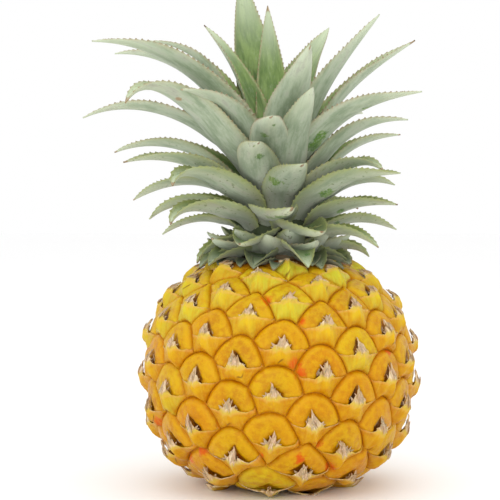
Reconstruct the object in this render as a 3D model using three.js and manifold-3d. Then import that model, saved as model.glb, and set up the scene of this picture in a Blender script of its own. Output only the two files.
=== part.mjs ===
// A small whole pineapple: a barrel of fruitlets with its crown of leaves on top.
// Millimetres, +Z up, the face that the picture shows towards -Y. The origin is on the
// fruit's axis, on the floor that it stands on.

import * as THREE from 'three';
import Module from 'manifold-3d';
import { ConvexHull } from 'three/addons/math/ConvexHull.js';

const wasm = await Module();
wasm.setup();
const { Manifold } = wasm;

// Fruit, measured along the grooves between its fruitlets
const GIRTH_RADIUS = 48.2;
const GIRTH_HEIGHT = 44.8;
const SHOULDER_RISE = 41.3;
const SHOULDER_FULLNESS = 2.2;
const BASE_DROP = 45;
const BASE_FULLNESS = 2.4;
const FLAT_BASE_Z = 2.5;
const BASE_ROUNDING = 1.5;
const SEAT_Z = 84.5;
const SEAT_ROUNDING = 0.8;
const PROFILE_STEPS = 3000;

// Fruitlets follow one spiral, a golden angle apart, and shrink towards the crown
const GOLDEN_TURN = 137.272;
const FIRST_EYE_TURN = -1.05;
const SKIN_BELOW_FIRST_EYE = 13830;
const SKIN_PER_EYE = 234.3;
const SKIN_SHRINK = 0.442;
const TURN_WANDER = 1.2;
const SKIN_WANDER = 270;
const LOWEST_EYE = -50;
const HIGHEST_EYE = 67;
const SEAT_RING_RADIUS = 8;
const SEAT_RING_COUNT = 7;
const SEAT_RING_TURN = 9;
const CELL_RINGS = { eye: [0.28, 0.66, 1], scar: [0.5, 0.86, 1], seat: [1] };
const EDGE_PARTS = 1;
const DOME_HEIGHT = 2.3;
const TUFT_HEIGHT = 1.5;
const TUFT_REACH = 0.8;
const BRACT_MARGIN = -0.24;
const BRACT_SAG = 0.14;
const SCAR_DROP = 2.6;

// Crown
const STEM_BASE_Z = 84.9;
const STEM_TOP_Z = 121;
const STEM_BASE_RADIUS = 16;
const STEM_TOP_RADIUS = 6;
const STEM_STEPS = 3;
const STEM_SIDES = 12;
const CROWN_LEAN = -0.03;
const LEAF_COUNT = 58;
const LEAF_TURN = 137.5;
const FIRST_LEAF_TURN = 87.5;
const LEAF_BASE_Z = 87.5;
const LEAF_BASE_RISE = 32;
const LEAF_BASE_RADIUS = 13.6;
const LEAF_BASE_TAPER = 9.4;
const LEAF_STEPS = 5;
const LEAF_THICKNESS = 0.8;
const LEAF_TIP_THICKNESS = 0.5;
const KEEL_DROP = 0.6;
const GAP = 0.3;
const COLLAR_COUNT = 9;
const SLIVER = 0.06;

const DEG = Math.PI / 180;

// Leaves that the picture shows, and one behind them, by their rank from the lowest: turn
// added to the spiral's, reach from the axis, height of the tip, launch and tip angles over the
// horizontal, width, and the turn gained on the way to the tip. Millimetres and degrees.
const SHOWN_LEAVES = {
  0: [0, 34, 86, 36, -60, 16, 0],
  2: [16, 33, 83, 36, -58, 18, 0],
  4: [0, 31, 83.5, 32, -72, 18, 0],
  5: [0, 44, 90, 42, -45, 17, 0],
  7: [4, 32, 91.5, 52, 4, 24, 0],
  8: [0, 48, 96, 45, -30, 17, 0],
  9: [0, 50, 94, 45, -35, 13, 0],
  10: [2, 38, 96, 54, 14, 26, 0],
  11: [5, 44, 103, 56, -20, 20, -4],
  12: [0, 44, 98, 62, -80, 22, 0],
  13: [0, 46, 105.5, 52, -14, 21, 0],
  15: [0, 40, 104.5, 62, 25, 24, 18],
  16: [0, 40, 104, 58, -35, 18, 0],
  17: [0, 49, 100, 55, -50, 20, 0],
  18: [9, 56, 116.5, 60, -6, 21, 0],
  20: [-14, 45, 112, 72, -82, 24, 0],
  21: [0, 45, 113, 62, -28, 20, 0],
  22: [8, 66, 107.5, 57, -30, 18, 0],
  23: [0, 46, 119.5, 74, 6, 21, 2],
  25: [0, 58, 121, 62, -20, 20, 0],
  26: [0, 44, 117.5, 62, -50, 22, 0],
  28: [-6, 48, 127, 76, 4, 22, 22],
  29: [0, 54, 133, 64, 0, 18, 0],
  30: [0, 66, 126, 64, -25, 20, 0],
  31: [-13, 47, 146, 80, 30, 21, 0],
  33: [0, 64, 141, 70, -62, 25, 0],
  34: [0, 50, 137, 70, -10, 20, 0],
  36: [-6, 54, 135.5, 80, 4, 22, 8],
  38: [0, 72, 138, 72, -30, 20, 0],
  39: [0, 67, 144.5, 74, 0, 21, 0],
  41: [-8, 48, 146, 78, -6, 22, 0],
  42: [0, 56, 168.5, 78, 28, 21, 0],
  43: [8, 67, 165, 80, -6, 20, 0],
  44: [-3, 52, 160, 84, 34, 23, 0],
  45: [8, 55, 178, 84, 40, 26, -8],
  46: [0, 70, 164, 82, -8, 24, 0],
  47: [0, 42, 175, 82, 45, 21, 0],
  48: [-12, 44, 199, 84, 80, 29, 0],
  50: [0, 30, 150, 84, 50, 16, 0],
  51: [0, 48, 168, 82, 0, 16, 0],
  52: [0, 20, 158, 86, 74, 16, 0],
  53: [8, 28, 184, 86, 78, 18, 0],
  56: [0, 36, 176, 84, 40, 15, 0],
};

function interpolate(x, points) {
  const last = points.length - 1;
  if (x <= points[0][0]) return points[0][1];
  if (x >= points[last][0]) return points[last][1];
  const i = points.findIndex(([px]) => px > x);
  const [x0, y0] = points[i - 1];
  const [x1, y1] = points[i];
  return y0 + ((y1 - y0) * (x - x0)) / (x1 - x0);
}

// A number from 0 to 1 that is always the same for one rank and one trait
function vary(rank, trait) {
  const x = Math.sin(rank * 12.9898 + trait * 78.233) * 43758.5453;
  return x - Math.floor(x);
}

function smoothFloor(z, floor, rounding) {
  const x = (z - floor) / rounding;
  return floor + rounding * (x > 30 ? x : Math.log1p(Math.exp(x)));
}

// Profile of the fruit from its base to the crown's seat, with the skin area below each step
function makeProfile() {
  const rows = [];
  let area = 0;
  for (let i = 0; i <= PROFILE_STEPS; i += 1) {
    const t = (2 * i) / PROFILE_STEPS - 1;
    const upper = t >= 0;
    const power = 2 / (upper ? SHOULDER_FULLNESS : BASE_FULLNESS);
    const reach = upper ? SHOULDER_RISE : BASE_DROP;
    const r = GIRTH_RADIUS * Math.abs(Math.cos((t * Math.PI) / 2)) ** power;
    let z = GIRTH_HEIGHT + Math.sign(t) * reach * Math.abs(Math.sin((t * Math.PI) / 2)) ** power;
    z = smoothFloor(z, FLAT_BASE_Z, BASE_ROUNDING);
    z = -smoothFloor(-z, -SEAT_Z, SEAT_ROUNDING);
    if (i > 0) {
      const before = rows[i - 1];
      area += Math.PI * (r + before.r) * Math.hypot(r - before.r, z - before.z);
    }
    rows.push({ r, z, area });
  }
  return rows;
}

const PROFILE = makeProfile();
const SKIN_AREA = PROFILE[PROFILE_STEPS].area;

function profileAt(area) {
  let low = 0;
  let high = PROFILE_STEPS;
  while (high - low > 1) {
    const middle = (low + high) >> 1;
    if (PROFILE[middle].area <= area) low = middle;
    else high = middle;
  }
  const a = PROFILE[low];
  const b = PROFILE[high];
  const f = Math.min(Math.max((area - a.area) / (b.area - a.area || 1), 0), 1);
  const before = PROFILE[Math.max(low - 20, 0)];
  const after = PROFILE[Math.min(high + 20, PROFILE_STEPS)];
  const dr = after.r - before.r;
  const dz = after.z - before.z;
  const length = Math.hypot(dr, dz);
  return { r: a.r + f * (b.r - a.r), z: a.z + f * (b.z - a.z), nr: dz / length, nz: -dr / length };
}

// The skin is laid out on a unit sphere that keeps its areas
function sphereDirection(turn, area) {
  const z = Math.min(Math.max((2 * area) / SKIN_AREA - 1, -1), 1);
  const r = Math.sqrt(1 - z * z);
  return new THREE.Vector3(r * Math.sin(turn * DEG), -r * Math.cos(turn * DEG), z);
}

function skinPoint(direction, height) {
  const p = profileAt(((1 + direction.z) / 2) * SKIN_AREA);
  const length = Math.hypot(direction.x, direction.y);
  const x = length > 1e-9 ? direction.x / length : 0;
  const y = length > 1e-9 ? direction.y / length : 0;
  const r = p.r + height * p.nr;
  return [x * r, y * r, Math.max(p.z + height * p.nz, 0)];
}

function areaBelow(radius, fromTop) {
  const rows = fromTop ? [...PROFILE].reverse() : PROFILE;
  return rows.find(row => row.r >= radius).area;
}

function fruitletSites() {
  const sites = [{ direction: new THREE.Vector3(0, 0, -1), kind: 'scar' }];
  for (let k = LOWEST_EYE; k <= HIGHEST_EYE; k += 1) {
    const area = SKIN_BELOW_FIRST_EYE + SKIN_PER_EYE * k - SKIN_SHRINK * k * k
      + SKIN_WANDER * (2 * vary(k, 754) - 1);
    const turn = FIRST_EYE_TURN + GOLDEN_TURN * k + TURN_WANDER * (2 * vary(k, 987) - 1);
    const size = Math.sqrt((SKIN_PER_EYE - 2 * SKIN_SHRINK * k) / SKIN_PER_EYE);
    sites.push({ direction: sphereDirection(turn, area), kind: 'eye', size, rank: k });
  }
  const ringArea = areaBelow(SEAT_RING_RADIUS, true);
  for (let i = 0; i < SEAT_RING_COUNT; i += 1) {
    sites.push({ direction: sphereDirection(SEAT_RING_TURN + (360 * i) / SEAT_RING_COUNT, ringArea), kind: 'seat' });
  }
  sites.push({ direction: new THREE.Vector3(0, 0, 1), kind: 'seat' });
  return sites;
}

// Height of one fruitlet over the grooves round it; x and y run over its unit disc, y to the crown
function eyeRelief(x, y, size) {
  const rho = Math.min(Math.hypot(x, y), 1);
  const dome = DOME_HEIGHT * (1 - rho ** 4) ** 0.6;
  const margin = BRACT_MARGIN + BRACT_SAG * x * x;
  const under = Math.min(Math.max((margin - y) / 0.1, 0), 1);
  const fade = Math.max(1 - Math.max(margin - y, 0) / (margin + 1), 0);
  const tuft = Math.exp(-((x / 0.3) ** 2)) * Math.min(fade, Math.max(1 - (y - margin) / TUFT_REACH, 0));
  const hollow = 0.6 * Math.exp(-(((Math.abs(x) - 0.34) / 0.14) ** 2) - (((y - 0.3) / 0.2) ** 2));
  return size * (dome + 0.35 * under * fade + TUFT_HEIGHT * tuft - hollow);
}

function reliefAt(site, x, y) {
  if (site.kind === 'eye') return eyeRelief(x, y, eyeSize(site));
  if (site.kind === 'scar') return Math.hypot(x, y) < 0.9 ? SCAR_DROP : 0;
  return 0;
}

function eyeSize(site) {
  return site.size * (0.94 + 0.12 * vary(site.rank, 1));
}

// Corners of every fruitlet's cell: the face normals of the hull round all sites
function makeCells(sites) {
  const points = sites.map(site => site.direction);
  const hull = new ConvexHull().setFromPoints(points);
  const around = sites.map(() => []);
  hull.faces.forEach((face, corner) => {
    let edge = face.edge;
    do {
      around[points.indexOf(edge.head().point)].push({ corner, direction: face.normal.clone() });
      edge = edge.next;
    } while (edge !== face.edge);
  });
  return sites.map((site, i) => {
    const north = new THREE.Vector3(0, 0, 1).projectOnPlane(site.direction);
    if (north.length() < 1e-6) north.set(0, 1, 0);
    north.normalize();
    const east = new THREE.Vector3().crossVectors(north, site.direction);
    const angle = d => Math.atan2(d.dot(north), d.dot(east));
    const corners = around[i].sort((a, b) => angle(a.direction) - angle(b.direction));
    return { site, north, east, corners };
  });
}

function buildFruit(swell) {
  const vertices = [];
  const triangles = [];
  const shared = new Map();
  const add = (direction, height) => vertices.push(skinPoint(direction, height + swell)) - 1;
  const sharedPoint = (key, direction) => {
    if (!shared.has(key)) shared.set(key, add(direction, 0));
    return { index: shared.get(key), direction };
  };
  for (const { site, north, east, corners } of makeCells(fruitletSites())) {
    const border = [];
    corners.forEach((corner, i) => {
      const next = corners[(i + 1) % corners.length];
      const forward = corner.corner < next.corner;
      const [from, to] = forward ? [corner, next] : [next, corner];
      border.push(sharedPoint(`corner ${corner.corner}`, corner.direction));
      for (let j = 1; j < EDGE_PARTS; j += 1) {
        const part = forward ? j : EDGE_PARTS - j;
        const direction = from.direction.clone().lerp(to.direction, part / EDGE_PARTS).normalize();
        border.push(sharedPoint(`edge ${from.corner} ${to.corner} ${part}`, direction));
      }
    });
    const centre = add(site.direction, reliefAt(site, 0, 0));
    let inner = null;
    for (const t of CELL_RINGS[site.kind]) {
      const ring = border.map(({ index, direction }) => {
        if (t === 1) return index;
        const x = direction.dot(east);
        const y = direction.dot(north);
        const length = Math.hypot(x, y);
        const point = site.direction.clone().lerp(direction, t).normalize();
        return add(point, reliefAt(site, (t * x) / length, (t * y) / length));
      });
      ring.forEach((vertex, i) => {
        const next = (i + 1) % ring.length;
        if (inner === null) {
          triangles.push([centre, vertex, ring[next]]);
        } else {
          triangles.push([inner[i], vertex, ring[next]]);
          triangles.push([inner[i], ring[next], inner[next]]);
        }
      });
      inner = ring;
    }
  }
  return solidFrom(vertices, triangles);
}

function solidFrom(vertices, triangles) {
  const mesh = new wasm.Mesh({
    numProp: 3,
    vertProperties: new Float32Array(vertices.flat()),
    triVerts: new Uint32Array(triangles.flat()),
  });
  return new Manifold(mesh);
}

// What a leaf of this rank is like: from the picture where it shows there, else by its rank
function leafTraits(rank) {
  const turn = FIRST_LEAF_TURN + LEAF_TURN * rank;
  const height = Math.max(rank, 0) / (LEAF_COUNT - 1);
  const base = {
    z: LEAF_BASE_Z + LEAF_BASE_RISE * height ** 0.9,
    r: LEAF_BASE_RADIUS - LEAF_BASE_TAPER * height,
  };
  if (SHOWN_LEAVES[rank]) {
    const [shift, reach, top, launch, tip, width, swerve] = SHOWN_LEAVES[rank];
    return { base, turn: turn + shift, reach, top, launch, tip, width, swerve };
  }
  const wobble = trait => 2 * vary(rank, trait) - 1;
  return {
    base,
    turn: turn + 4 * wobble(2),
    reach: interpolate(rank, [[0, 31], [8, 44], [14, 46], [22, 56], [30, 60], [38, 62], [46, 54], [49, 18], [57, 9]])
      + 2 * wobble(3),
    top: interpolate(rank, [[0, 89], [8, 97], [14, 104], [22, 116], [30, 130], [38, 146], [46, 160], [49, 138], [57, 129]])
      + 2 * wobble(4),
    launch: interpolate(rank, [[0, 40], [8, 46], [20, 62], [35, 74], [57, 86]]),
    tip: interpolate(rank, [[0, -50], [8, -40], [22, -28], [30, -15], [38, 0], [46, 30], [49, 60], [57, 80]]),
    width: interpolate(rank, [[0, 17], [5, 18], [10, 19], [20, 20], [40, 21], [48, 18], [50, 12], [57, 7]])
      + 0.5 * wobble(382),
    swerve: 8 * wobble(5),
  };
}

// Short dry leaves under the others, grown together with the stem
function collarTraits(i) {
  const turn = FIRST_LEAF_TURN - LEAF_TURN * (i + 1);
  return {
    base: { z: 86.8, r: 11.6 },
    turn,
    reach: 28 + 5 * vary(i, 6),
    top: 83.5 - 1.5 * vary(i, 7),
    launch: 22,
    tip: -55,
    width: 19,
    swerve: 6 * (vary(i, 8) - 0.5),
  };
}

function leafWidth(s) {
  return (0.5 + 0.5 * Math.sin((Math.PI / 2) * Math.min(s / 0.35, 1))) * (1 - s ** 1.9) ** 0.85;
}

// Middle line of a leaf with its own directions: along, across and out of its upper face
function leafFrame(traits, s) {
  const { base, reach, top } = traits;
  const launch = traits.launch * DEG;
  const tip = traits.tip * DEG;
  const chord = Math.hypot(reach - base.r, top - base.z);
  const r = [base.r, base.r + 0.42 * chord * Math.cos(launch), reach - 0.36 * chord * Math.cos(tip), reach];
  const z = [base.z, base.z + 0.42 * chord * Math.sin(launch), top - 0.36 * chord * Math.sin(tip), top];
  const q = 1 - s;
  const blend = p => q ** 3 * p[0] + 3 * q * q * s * p[1] + 3 * q * s * s * p[2] + s ** 3 * p[3];
  const slope = p => q * q * (p[1] - p[0]) + 2 * q * s * (p[2] - p[1]) + s * s * (p[3] - p[2]);
  const turn = (traits.turn + traits.swerve * s) * DEG;
  const radius = blend(r);
  const height = blend(z);
  const outward = new THREE.Vector3(Math.sin(turn), -Math.cos(turn), 0);
  const across = new THREE.Vector3(-Math.cos(turn), -Math.sin(turn), 0);
  const along = outward.clone().multiplyScalar(slope(r))
    .addScaledVector(across, (-radius * traits.swerve * DEG) / 3);
  along.z = slope(z);
  along.x += CROWN_LEAN * along.z;
  along.normalize();
  const up = new THREE.Vector3().crossVectors(across, along).normalize();
  across.crossVectors(along, up);
  const middle = outward.multiplyScalar(radius);
  middle.z = height;
  middle.x += CROWN_LEAN * (height - 82);
  return { middle, along, across, up, radius };
}

// One leaf: a channelled blade, both faces split alike, sharp at its margins and tip
function buildLeaf(traits, swell) {
  const vertices = [];
  const triangles = [];
  const add = v => vertices.push([v.x, v.y, v.z]) - 1;
  const section = [[-1, -1], [0, -1], [1, -1], [1, 1], [0, 1], [-1, 1]]
    .filter(([u, side]) => swell > 0 || Math.abs(u) < 1 || side === -u);
  const rows = [];
  for (let i = 0; i < LEAF_STEPS; i += 1) {
    const s = i / LEAF_STEPS;
    const frame = leafFrame(traits, s);
    const width = traits.width * leafWidth(s);
    const margin = 1 + (2 * swell) / width;
    const hug = Math.min(Math.max(width / 2 / (frame.radius + 1), 0.4), 1.25);
    const bend = THREE.MathUtils.lerp(hug, 1.1, Math.min(s / 0.35, 1));
    const thickness = THREE.MathUtils.lerp(LEAF_THICKNESS, LEAF_TIP_THICKNESS, s) + 2 * swell;
    const start = i === 0 ? -swell : 0;
    const arch = width / 2 / bend;
    const drop = KEEL_DROP * arch * (1 - Math.cos(bend)) * Math.min(s / 0.35, 1);
    const place = (u, side) => {
      const atMargin = Math.abs(u) === 1;
      const angle = bend * u * (atMargin ? margin : 1);
      const radius = arch - side * (atMargin ? 1.5 * swell : thickness / 2);
      return frame.middle.clone()
        .addScaledVector(frame.across, radius * Math.sin(angle))
        .addScaledVector(frame.up, arch - radius * Math.cos(angle) - drop)
        .addScaledVector(frame.along, start);
    };
    rows.push(section.map(([u, side]) => add(place(u, side))));
  }
  const end = leafFrame(traits, 1);
  const tip = add(end.middle.addScaledVector(end.along, 4 * swell));
  const sides = rows[0].length;
  for (let i = 0; i + 1 < rows.length; i += 1) {
    for (let j = 0; j < sides; j += 1) {
      const next = (j + 1) % sides;
      if (section[next][0] === 0) {
        triangles.push([rows[i][j], rows[i + 1][j], rows[i][next]]);
        triangles.push([rows[i][next], rows[i + 1][j], rows[i + 1][next]]);
      } else {
        triangles.push([rows[i][j], rows[i + 1][next], rows[i][next]]);
        triangles.push([rows[i][j], rows[i + 1][j], rows[i + 1][next]]);
      }
    }
  }
  const last = rows[rows.length - 1];
  for (let j = 0; j < sides; j += 1) triangles.push([last[j], tip, last[(j + 1) % sides]]);
  const middle = add(leafFrame(traits, 0).middle.addScaledVector(leafFrame(traits, 0).along, -swell));
  for (let j = 0; j < sides; j += 1) triangles.push([rows[0][j], rows[0][(j + 1) % sides], middle]);
  return solidFrom(vertices, triangles);
}

function buildStem(swell) {
  const steps = STEM_STEPS;
  const sides = STEM_SIDES;
  const vertices = [[leanAt(STEM_BASE_Z), 0, STEM_BASE_Z - swell]];
  const triangles = [];
  for (let i = 0; i <= steps; i += 1) {
    const t = i / steps;
    const radius = THREE.MathUtils.lerp(STEM_BASE_RADIUS, STEM_TOP_RADIUS, t) + swell;
    const z = THREE.MathUtils.lerp(STEM_BASE_Z - swell, STEM_TOP_Z + swell, t);
    for (let j = 0; j < sides; j += 1) {
      const angle = (2 * Math.PI * j) / sides;
      vertices.push([leanAt(z) + radius * Math.cos(angle), radius * Math.sin(angle), z]);
    }
  }
  vertices.push([leanAt(STEM_TOP_Z), 0, STEM_TOP_Z + swell + 1]);
  const at = (i, j) => 1 + i * sides + (j % sides);
  for (let j = 0; j < sides; j += 1) {
    triangles.push([0, at(0, j + 1), at(0, j)]);
    triangles.push([vertices.length - 1, at(steps, j), at(steps, j + 1)]);
    for (let i = 0; i < steps; i += 1) {
      triangles.push([at(i, j), at(i, j + 1), at(i + 1, j + 1)]);
      triangles.push([at(i, j), at(i + 1, j + 1), at(i + 1, j)]);
    }
  }
  let stem = solidFrom(vertices, triangles);
  for (let i = 0; i < COLLAR_COUNT; i += 1) stem = stem.add(buildLeaf(collarTraits(i), swell));
  return stem;
}

function leanAt(z) {
  return CROWN_LEAN * (z - 82);
}

function largestPiece(solid) {
  return solid.simplify(SLIVER).decompose().sort((a, b) => b.volume() - a.volume())[0];
}

function meshOf(name, solid, look) {
  const { vertProperties, triVerts } = solid.getMesh();
  const geometry = new THREE.BufferGeometry();
  geometry.setAttribute('position', new THREE.BufferAttribute(vertProperties, 3));
  geometry.setIndex(new THREE.BufferAttribute(triVerts, 1));
  geometry.computeVertexNormals();
  const mesh = new THREE.Mesh(geometry, new THREE.MeshStandardMaterial(look));
  mesh.name = name;
  return mesh;
}

const pineapple = new THREE.Group();
pineapple.name = 'pineapple';

const fruit = buildFruit(0);
pineapple.add(meshOf('fruit', fruit, { color: 0xd9a01c, roughness: 0.5, metalness: 0 }));

const fruitClearance = buildFruit(GAP);
const stem = largestPiece(buildStem(0).subtract(fruitClearance));
pineapple.add(meshOf('crown_stem', stem, { color: 0x8f9a62, roughness: 0.6, metalness: 0 }));

// Leaves from the innermost outwards, each cut clear of the ones inside it
let taken = fruitClearance.add(buildStem(GAP));
const leaves = [];
for (let rank = LEAF_COUNT - 1; rank >= 0; rank -= 1) {
  const traits = leafTraits(rank);
  leaves.unshift(largestPiece(buildLeaf(traits, 0).subtract(taken)));
  taken = taken.add(buildLeaf(traits, GAP));
}
leaves.forEach((leaf, rank) => {
  const name = `leaf_${String(rank + 1).padStart(2, '0')}`;
  pineapple.add(meshOf(name, leaf, { color: 0x8fa38c, roughness: 0.55, metalness: 0 }));
});

export default pineapple;
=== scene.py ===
# A small whole pineapple, dressed: fruitlets with bracts and dry scales, and a toothed crown.
# Metres in the scene. The shaping functions work in millimetres, +Z up, camera side at -Y.

import math

import bmesh
import bpy
import numpy as np
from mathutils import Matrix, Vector


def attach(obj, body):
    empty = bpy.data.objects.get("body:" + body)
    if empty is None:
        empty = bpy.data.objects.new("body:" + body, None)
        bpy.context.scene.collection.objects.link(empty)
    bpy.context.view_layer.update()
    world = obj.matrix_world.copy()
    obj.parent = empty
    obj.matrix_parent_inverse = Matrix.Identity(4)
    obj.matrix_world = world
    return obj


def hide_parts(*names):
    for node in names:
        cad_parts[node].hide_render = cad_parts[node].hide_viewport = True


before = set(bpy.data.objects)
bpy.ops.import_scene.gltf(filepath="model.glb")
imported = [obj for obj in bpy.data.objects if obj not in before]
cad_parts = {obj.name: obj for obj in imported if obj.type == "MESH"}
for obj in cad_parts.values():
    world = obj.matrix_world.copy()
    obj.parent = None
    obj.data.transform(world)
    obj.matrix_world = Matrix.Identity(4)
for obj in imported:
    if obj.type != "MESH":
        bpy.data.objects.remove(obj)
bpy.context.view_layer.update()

MM = 0.001
DEG = math.pi / 180

# Fruit, measured along the grooves between its fruitlets
GIRTH_RADIUS = 48.2
GIRTH_HEIGHT = 44.8
SHOULDER_RISE = 41.3
SHOULDER_FULLNESS = 2.2
BASE_DROP = 45
BASE_FULLNESS = 2.4
FLAT_BASE_Z = 2.5
BASE_ROUNDING = 1.5
SEAT_Z = 84.5
SEAT_ROUNDING = 0.8
PROFILE_STEPS = 3000
SLOPE_STEPS = 20

# Fruitlets on one spiral
GOLDEN_TURN = 137.272
FIRST_EYE_TURN = -1.05
SKIN_BELOW_FIRST_EYE = 13830
SKIN_PER_EYE = 234.3
SKIN_SHRINK = 0.442
TURN_WANDER = 1.2
SKIN_WANDER = 270
LOWEST_EYE = -50
HIGHEST_EYE = 67
SEAT_RING_RADIUS = 8
SEAT_RING_COUNT = 7
SEAT_RING_TURN = 9
DOME_HEIGHT = 2.3
SCAR_DROP = 2.6
TUFT_HEIGHT = 1.5
TUFT_REACH = 0.8
BRACT_MARGIN = -0.24
BRACT_SAG = 0.14
BEAK_STAND = 0.8
BEAK_POWER = 1.15
EDGE_PARTS = 8
EDGE_BOW = 0.09
AREA_TRAIT = 754
TURN_TRAIT = 987
GREENEST_EYE = -42

# Dry scales on the fruitlets
SCALE_SEED = 41
SCALE_ROWS = 7
SCALE_COLUMNS = 5

# Crown
STEM_BASE_Z = 84.9
STEM_TOP_Z = 121
STEM_BASE_RADIUS = 16
STEM_TOP_RADIUS = 6
CROWN_LEAN = -0.03
LEAF_COUNT = 58
LEAF_TURN = 137.5
FIRST_LEAF_TURN = 87.5
LEAF_BASE_Z = 87.5
LEAF_BASE_RISE = 32
LEAF_BASE_RADIUS = 13.6
LEAF_BASE_TAPER = 9.4
COLLAR_COUNT = 9
STUB_COUNT = 16
FRINGE_COUNT = 16
KEEL_DROP = 0.6
TOOTH_PITCH = 2.1
TOOTH_HEIGHT = 0.55
LEAF_OPEN_BY = 0.35
LEAF_BEND = 1.1
WIDTH_TRAIT = 382

# Leaves by rank from the lowest: turn added to the spiral's, reach from the axis, height of the
# tip, launch and tip angles over the horizontal, width, and the turn gained on the way to the tip.
SHOWN_LEAVES = {
    0: [0, 34, 86, 36, -60, 16, 0],
    2: [16, 33, 83, 36, -58, 18, 0],
    4: [0, 31, 83.5, 32, -72, 18, 0],
    5: [0, 44, 90, 42, -45, 17, 0],
    7: [4, 32, 91.5, 52, 4, 24, 0],
    8: [0, 48, 96, 45, -30, 17, 0],
    9: [0, 50, 94, 45, -35, 13, 0],
    10: [2, 38, 96, 54, 14, 26, 0],
    11: [5, 44, 103, 56, -20, 20, -4],
    12: [0, 44, 98, 62, -80, 22, 0],
    13: [0, 46, 105.5, 52, -14, 21, 0],
    15: [0, 40, 104.5, 62, 25, 24, 18],
    16: [0, 40, 104, 58, -35, 18, 0],
    17: [0, 49, 100, 55, -50, 20, 0],
    18: [9, 56, 116.5, 60, -6, 21, 0],
    20: [-14, 45, 112, 72, -82, 24, 0],
    21: [0, 45, 113, 62, -28, 20, 0],
    22: [8, 66, 107.5, 57, -30, 18, 0],
    23: [0, 46, 119.5, 74, 6, 21, 2],
    25: [0, 58, 121, 62, -20, 20, 0],
    26: [0, 44, 117.5, 62, -50, 22, 0],
    28: [-6, 48, 127, 76, 4, 22, 22],
    29: [0, 54, 133, 64, 0, 18, 0],
    30: [0, 66, 126, 64, -25, 20, 0],
    31: [-13, 47, 146, 80, 30, 21, 0],
    33: [0, 64, 141, 70, -62, 25, 0],
    34: [0, 50, 137, 70, -10, 20, 0],
    36: [-6, 54, 135.5, 80, 4, 22, 8],
    38: [0, 72, 138, 72, -30, 20, 0],
    39: [0, 67, 144.5, 74, 0, 21, 0],
    41: [-8, 48, 146, 78, -6, 22, 0],
    42: [0, 56, 168.5, 78, 28, 21, 0],
    43: [8, 67, 165, 80, -6, 20, 0],
    44: [-3, 52, 160, 84, 34, 23, 0],
    45: [8, 55, 178, 84, 40, 26, -8],
    46: [0, 70, 164, 82, -8, 24, 0],
    47: [0, 42, 175, 82, 45, 21, 0],
    48: [-12, 44, 199, 84, 80, 29, 0],
    50: [0, 30, 150, 84, 50, 16, 0],
    51: [0, 48, 168, 82, 0, 16, 0],
    52: [0, 20, 158, 86, 74, 16, 0],
    53: [8, 28, 184, 86, 78, 18, 0],
    56: [0, 36, 176, 84, 40, 15, 0],
}


def vary(rank, trait):
    """A number from 0 to 1 that is always the same for one rank and one trait."""
    x = math.sin(rank * 12.9898 + trait * 78.233) * 43758.5453
    return x - math.floor(x)


def lerp(a, b, t):
    return a + (b - a) * t


def bell(x, width):
    return np.exp(-((x / width) ** 2))


def unit(v):
    return v / np.maximum(np.linalg.norm(v, axis=-1, keepdims=True), 1e-12)


# The fruit's profile

def smooth_floor(z, floor, rounding):
    x = (z - floor) / rounding
    return floor + rounding * np.logaddexp(0, x)


def make_profile():
    t = np.linspace(-1, 1, PROFILE_STEPS + 1)
    upper = t >= 0
    power = np.where(upper, 2 / SHOULDER_FULLNESS, 2 / BASE_FULLNESS)
    reach = np.where(upper, SHOULDER_RISE, BASE_DROP)
    r = GIRTH_RADIUS * np.abs(np.cos(t * math.pi / 2)) ** power
    z = GIRTH_HEIGHT + np.sign(t) * reach * np.abs(np.sin(t * math.pi / 2)) ** power
    z = smooth_floor(z, FLAT_BASE_Z, BASE_ROUNDING)
    z = -smooth_floor(-z, -SEAT_Z, SEAT_ROUNDING)
    bands = math.pi * (r[1:] + r[:-1]) * np.hypot(np.diff(r), np.diff(z))
    return r, z, np.concatenate([[0], np.cumsum(bands)])


PROFILE_R, PROFILE_Z, PROFILE_AREA = make_profile()
SKIN_AREA = PROFILE_AREA[-1]
SPHERE_RADIUS = math.sqrt(SKIN_AREA / (4 * math.pi))


def skin_frame(direction):
    """Point on the skin in mm, and the skin's outward normal, for directions from the centre."""
    area = (1 + np.clip(direction[..., 2], -1, 1)) / 2 * SKIN_AREA
    r = np.interp(area, PROFILE_AREA, PROFILE_R)
    z = np.interp(area, PROFILE_AREA, PROFILE_Z)
    low = np.clip(np.searchsorted(PROFILE_AREA, area) - 1, 0, PROFILE_STEPS - 1)
    before = np.maximum(low - SLOPE_STEPS, 0)
    after = np.minimum(low + 1 + SLOPE_STEPS, PROFILE_STEPS)
    dr = PROFILE_R[after] - PROFILE_R[before]
    dz = PROFILE_Z[after] - PROFILE_Z[before]
    length = np.hypot(dr, dz)
    across = np.hypot(direction[..., 0], direction[..., 1])
    x = direction[..., 0] / np.maximum(across, 1e-9)
    y = direction[..., 1] / np.maximum(across, 1e-9)
    nr, nz = dz / length, -dr / length
    point = np.stack([x * r, y * r, z], -1)
    return point, unit(np.stack([x * nr, y * nr, nz], -1))


def skin_point(direction, height):
    point, normal = skin_frame(direction)
    point = point + normal * np.asarray(height)[..., None]
    point[..., 2] = np.maximum(point[..., 2], 0)
    return point


def sphere_direction(turn, area):
    z = min(max(2 * area / SKIN_AREA - 1, -1), 1)
    r = math.sqrt(1 - z * z)
    return np.array([r * math.sin(turn * DEG), -r * math.cos(turn * DEG), z])


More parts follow.
